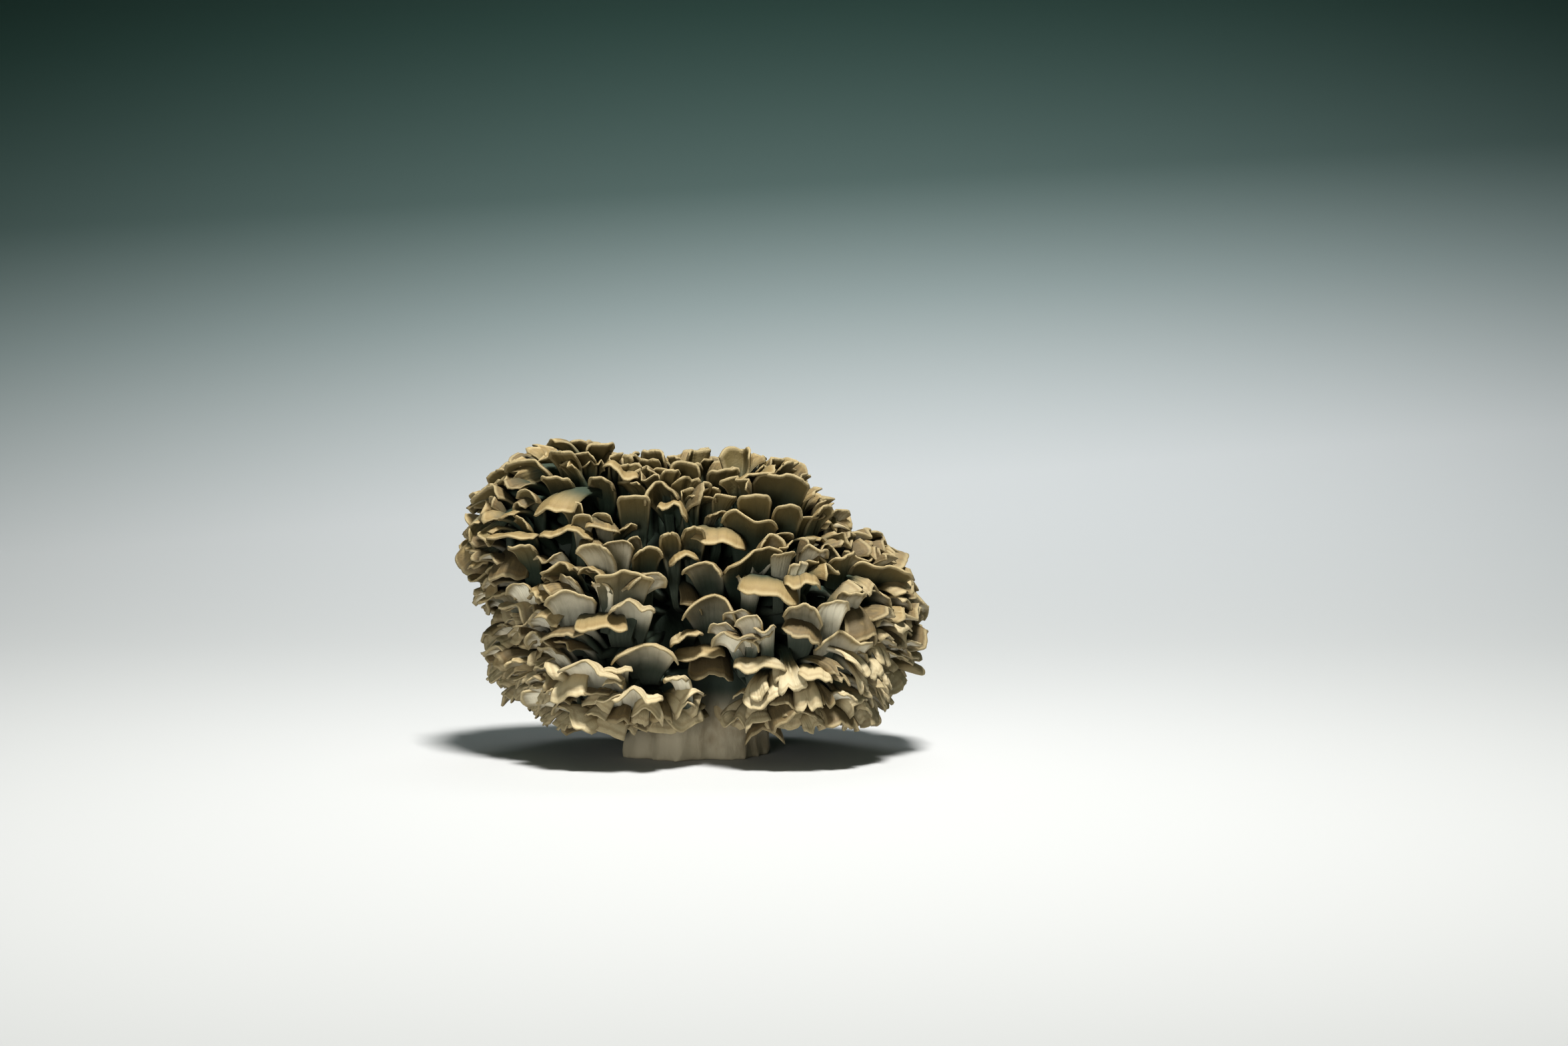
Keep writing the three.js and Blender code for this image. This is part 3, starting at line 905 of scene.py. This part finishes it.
EYE_HEIGHT = VIEW_CENTRE[2] + VIEW_DISTANCE * math.sin(VIEW_DOWN)
BROAD_LENGTH = 0.027
BROAD_GAP = 0.26
BROAD_OVER = 0.004
BROAD_NEAR = 0.008
ROOT_AT = 0.9
SIGHT_ROUNDS = 4

# A deep cleft runs down the front between the two masses, where no cap grows out.
CLEFT = np.array(((-0.005, 0.063), (-0.005, 0.046), (0.008, 0.038), (0.012, 0.019)))
CLEFT_HALF_WIDTH = 0.0055
CLEFT_FRONT = -0.012


def front_of_cluster(x, z):
    """The y of the foremost swelling at this place in the front view, and which one it is."""
    inside = 1 - ((x - CENTRES[:, 0]) / HALVES[:, 0]) ** 2 - ((z - CENTRES[:, 2]) / HALVES[:, 2]) ** 2
    depths = CENTRES[:, 1] - HALVES[:, 1] * np.sqrt(np.maximum(inside, 0))
    depths[inside <= 0] = 0
    return depths.min(), SWELLINGS[depths.argmin()][0]


def broad_caps():
    """The listed caps, each moved along its line of sight to the front of the cluster."""
    caps = []
    for seen_x, seen_z, width, bare, rise, heading, roll, cup, waves, phase, ruffle, tint in BROAD_CAPS:
        x, z = seen_x, seen_z
        for _ in range(SIGHT_ROUNDS):
            y, swelling = front_of_cluster(x, z)
            nearness = 1 + y / EYE_DISTANCE
            x, z = seen_x * nearness, EYE_HEIGHT + (seen_z - EYE_HEIGHT) * nearness
        rise, heading, roll = np.radians((rise, heading, roll))
        level = np.array((math.sin(heading), -math.cos(heading), 0.0))
        growth = level * math.cos(rise) + UP * math.sin(rise)
        over = turned(unit(UP - growth * growth[2]), growth, roll)
        caps.append(
            {
                "swelling": swelling,
                "tip": np.array((x, y, z)),
                "growth": growth,
                "over": over,
                "across": np.cross(over, growth),
                "width": width,
                "bare": bare,
                "length": BROAD_LENGTH,
                "cup": cup,
                "phase": phase,
                "waves": waves,
                "ruffle": ruffle,
                "tint": tint,
            }
        )
    return caps


def leaves_bare(cap, broad, sizes):
    """Whether a cap keeps its root inside, and off the broad ones' undersides and the cleft."""
    tip = cap["tip"]
    root = tip - cap["growth"] * cap["length"] * ROOT_AT
    if np.linalg.norm((root - CENTRES) / HALVES, axis=1).min() > sizes["root_share"]:
        return False
    if tip[1] < CLEFT_FRONT:
        for start, end in zip(CLEFT, CLEFT[1:]):
            along = end - start
            share = np.clip(((tip[0], tip[2]) - start) @ along / (along @ along), 0, 1)
            if np.linalg.norm((tip[0], tip[2]) - start - along * share) < CLEFT_HALF_WIDTH:
                return False
    for other in broad:
        x, y, z = tip - other["tip"]
        if np.linalg.norm((x, y, z)) < BROAD_NEAR:
            return False
        if abs(x) < other["width"] * BROAD_GAP and -other["bare"] < z < BROAD_OVER and y < BROAD_OVER:
            return False
    return True


FAN_NUMBERS = ("width", "length", "cup", "phase", "waves", "ruffle")
RIM_NUMBERS = (
    "fan_start", "corner", "widening", "lobes", "lobe_phase", "notch", "flare", "tint",
)
FAN_VECTORS = ("tip", "growth", "over", "across", "inward")


def cap_mesh(name, caps, sizes):
    """One plain mesh of all these caps, grown by the tree of nodes."""
    points = bpy.data.meshes.new(name)
    points.from_pydata([tuple(cap["tip"]) for cap in caps], [], [])
    for key in FAN_NUMBERS + RIM_NUMBERS:
        layer = points.attributes.new(key, "FLOAT", "POINT")
        layer.data.foreach_set("value", np.array([cap[key] for cap in caps], np.float32))
    for key in FAN_VECTORS:
        layer = points.attributes.new(key, "FLOAT_VECTOR", "POINT")
        layer.data.foreach_set("vector", np.array([cap[key] for cap in caps], np.float32).ravel())
    holder = bpy.data.objects.new(name, points)
    bpy.context.scene.collection.objects.link(holder)
    grow = holder.modifiers.new("grow", "NODES")
    grow.node_group = FAN_CAPS
    values = {
        "Rows": sizes["rows"],
        "Columns": sizes["columns"],
        "Rim Thickness": sizes["rim_thickness"],
        "Stalk Thickness": STALK_THICKNESS,
        "Flesh": CAP_FLESH,
    }
    for item in FAN_CAPS.interface.items_tree:
        if item.name in values:
            grow[item.identifier] = values[item.name]
    seen = bpy.context.evaluated_depsgraph_get()
    mesh = bpy.data.meshes.new_from_object(holder.evaluated_get(seen))
    bpy.data.objects.remove(holder)
    bpy.data.meshes.remove(points)
    return mesh


def add_piece(name, mesh):
    piece = bpy.data.objects.new(name, mesh)
    bpy.context.scene.collection.objects.link(piece)
    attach(piece, "root")
    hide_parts("maitake")
    return piece


FAN_CAPS = cap_tree()
CAP_FLESH = cap_flesh()
draws = Draws(SEED)
large_caps = place_caps(LARGE, draws)
chance = np.random.default_rng(SEED)
set_rise(large_caps, LARGE, chance)
broad = broad_caps()
large_caps = [cap for cap in large_caps if leaves_bare(cap, broad, LARGE)] + broad
add_rim_detail(large_caps, LARGE, chance)
for swelling, _, _ in SWELLINGS:
    own_caps = [cap for cap in large_caps if cap["swelling"] == swelling]
    add_piece(f"{swelling}_large_caps", cap_mesh(swelling, own_caps, LARGE))


# The small caps
# Between the large ones stand many smaller fans on narrower stalks, a little lower. They are the
# same flesh, and close the surface all round.
SMALL = {
    "cap_pitch": 0.0078,
    "layer_pitch": 0.0050,
    "rounds": 3,
    "closest": 0.0054,
    "width": (0.0062, 0.0118),
    "width_share_high": (0.8, 1.0),
    "width_share_low": (0.8, 1.1),
    "pitch": 0.28,
    "droop_chance": 0.08,
    "own_waves": (0.6, 2.2),
    "length": (0.018, 0.023),
    "ruffle": (0.0003, 0.0013),
    "deepest_tip": 0.004,
    "fan_start": (0.1, 0.4),
    "own_cup": 0.4,
    "corner": (-0.04, 0.08),
    "widening": (1.0, 1.6),
    "lobes": (0.8, 2.2),
    "notch": (-0.12, 0.10),
    "flare": (0.0004, 0.0022),
    "rim_thickness": 0.0007,
    "root_share": 0.83,
    "crinkle": 2.0,
    "rows": 10,
    "columns": 9,
}

small_caps = place_caps(SMALL, draws, large_caps, must_be_rooted=False)
set_rise(small_caps, SMALL, chance)
small_caps = [cap for cap in small_caps if leaves_bare(cap, broad, SMALL)]
add_rim_detail(small_caps, SMALL, chance)
for swelling, _, _ in SWELLINGS:
    own_caps = [cap for cap in small_caps if cap["swelling"] == swelling]
    add_piece(f"{swelling}_small_caps", cap_mesh(swelling, own_caps, SMALL))


# The flesh and the stem
# A thick cream stem, ridged and cut off flat at the foot, forks into a limb of firm fibrous
# flesh for each swelling. The stalks of all the caps grow out of these limbs.
CORE_DEPTH = 0.021
STEM_OUTLINE = ((0.022, 0.0), (0.0211, 0.006), (0.0231, 0.016), (0.0286, 0.030))
STEM_SIDES = 72
STEM_RIDGES = ((3, 0.10, 1.0), (7, 0.07, 0.0), (19, 0.03, 2.0))
LIMB_RADIUS = (0.017, 0.010)
LIMB_STEPS = 7
LIMB_BASE = 0.016
BALL_SUBDIVISIONS = 3
FLESH_VOXEL = 0.0014
SMOOTH_ROUNDS = 4
FLESH_CREAM = (0.42, 0.37, 0.27, 1.0)
FLESH_BROWN = (0.26, 0.215, 0.14, 1.0)
FLESH_PAINTED_SHADE = (0.018, 0.030, 0.020, 1.0)
FLESH_ROUGHNESS = 0.7
FLESH_SHADE_HEIGHTS = (0.012, 0.024)
FIBRE_SCALE = 420.0
FIBRE_STRETCH = (1.0, 1.0, 0.45)
FLESH_PATCH_SCALE = 70.0
FLESH_RELIEF = 0.0008


def add_ball(shape, centre, radii):
    made = bmesh.ops.create_icosphere(shape, subdivisions=BALL_SUBDIVISIONS, radius=1.0)
    for vertex in made["verts"]:
        vertex.co = Vector(centre) + Vector(radii) * vertex.co


def stem_radius(radius, turn):
    return radius * (1 + sum(share * math.cos(count * turn + start) for count, share, start in STEM_RIDGES))


def flesh_mesh():
    shape = bmesh.new()
    for (x, y, z), (rx, ry, rz) in zip(CENTRES, HALVES):
        add_ball(shape, (x, y, z), (rx - CORE_DEPTH, ry - CORE_DEPTH, rz - CORE_DEPTH))
        for step in range(LIMB_STEPS):
            share = step / (LIMB_STEPS - 1)
            radius = LIMB_RADIUS[0] + (LIMB_RADIUS[1] - LIMB_RADIUS[0]) * share
            base = STEM_FOOT + UP * LIMB_BASE
            add_ball(shape, tuple(base + (np.array((x, y, z)) - base) * share), (radius,) * 3)
    rings = []
    for radius, z in STEM_OUTLINE:
        ring = []
        for i in range(STEM_SIDES):
            turn = 2 * math.pi * i / STEM_SIDES
            r = stem_radius(radius, turn)
            ring.append(shape.verts.new((r * math.cos(turn), r * math.sin(turn), z)))
        rings.append(ring)
    for lower, upper in zip(rings, rings[1:]):
        for i in range(STEM_SIDES):
            j = (i + 1) % STEM_SIDES
            shape.faces.new((lower[i], lower[j], upper[j], upper[i]))
    shape.faces.new(rings[0][::-1])
    shape.faces.new(rings[-1])
    raw = bpy.data.meshes.new("flesh")
    shape.to_mesh(raw)
    shape.free()
    holder = bpy.data.objects.new("flesh", raw)
    bpy.context.scene.collection.objects.link(holder)
    remesh = holder.modifiers.new("join", "REMESH")
    remesh.mode = "VOXEL"
    remesh.voxel_size = FLESH_VOXEL
    smooth = holder.modifiers.new("smooth", "SMOOTH")
    smooth.iterations = SMOOTH_ROUNDS
    seen = bpy.context.evaluated_depsgraph_get()
    mesh = bpy.data.meshes.new_from_object(holder.evaluated_get(seen))
    bpy.data.objects.remove(holder)
    bpy.data.meshes.remove(raw)
    for vertex in mesh.vertices:
        vertex.co.z = max(vertex.co.z, 0.0)
    mesh.shade_smooth()
    return mesh


def stem_flesh():
    """Cream fibrous flesh with brown patches, and painted shade that darkens it from a little above the
    foot up, where it lies deep among the stalks.
    """
    material, tree, shader = plain_material("stem_flesh", FLESH_ROUGHNESS)
    place = tree.nodes.new("ShaderNodeTexCoord").outputs["Object"]
    stretch = tree.nodes.new("ShaderNodeVectorMath")
    stretch.operation = "MULTIPLY"
    tree.links.new(place, stretch.inputs[0])
    stretch.inputs[1].default_value = FIBRE_STRETCH
    fibres = grain(tree, stretch.outputs[0], FIBRE_SCALE, FINE_DETAIL)
    patches = grain(tree, place, FLESH_PATCH_SCALE)
    colour = blend(fade(fibres * 0.3 + patches * 0.7, 0.46, 0.72), FLESH_CREAM, FLESH_BROWN)
    _, _, height = parts_of(tree, place)
    # Painted shade: above the stem's foot the flesh turns green-black, as if shade fell among the stalks.
    colour = blend(fade(height, *FLESH_SHADE_HEIGHTS), colour, FLESH_PAINTED_SHADE)
    tree.links.new(colour, shader.inputs["Base Color"])
    relief(shader, fibres * 0.5 + patches, FLESH_RELIEF)
    return material


flesh = flesh_mesh()
flesh.materials.append(stem_flesh())
add_piece("stem_and_limbs", flesh)
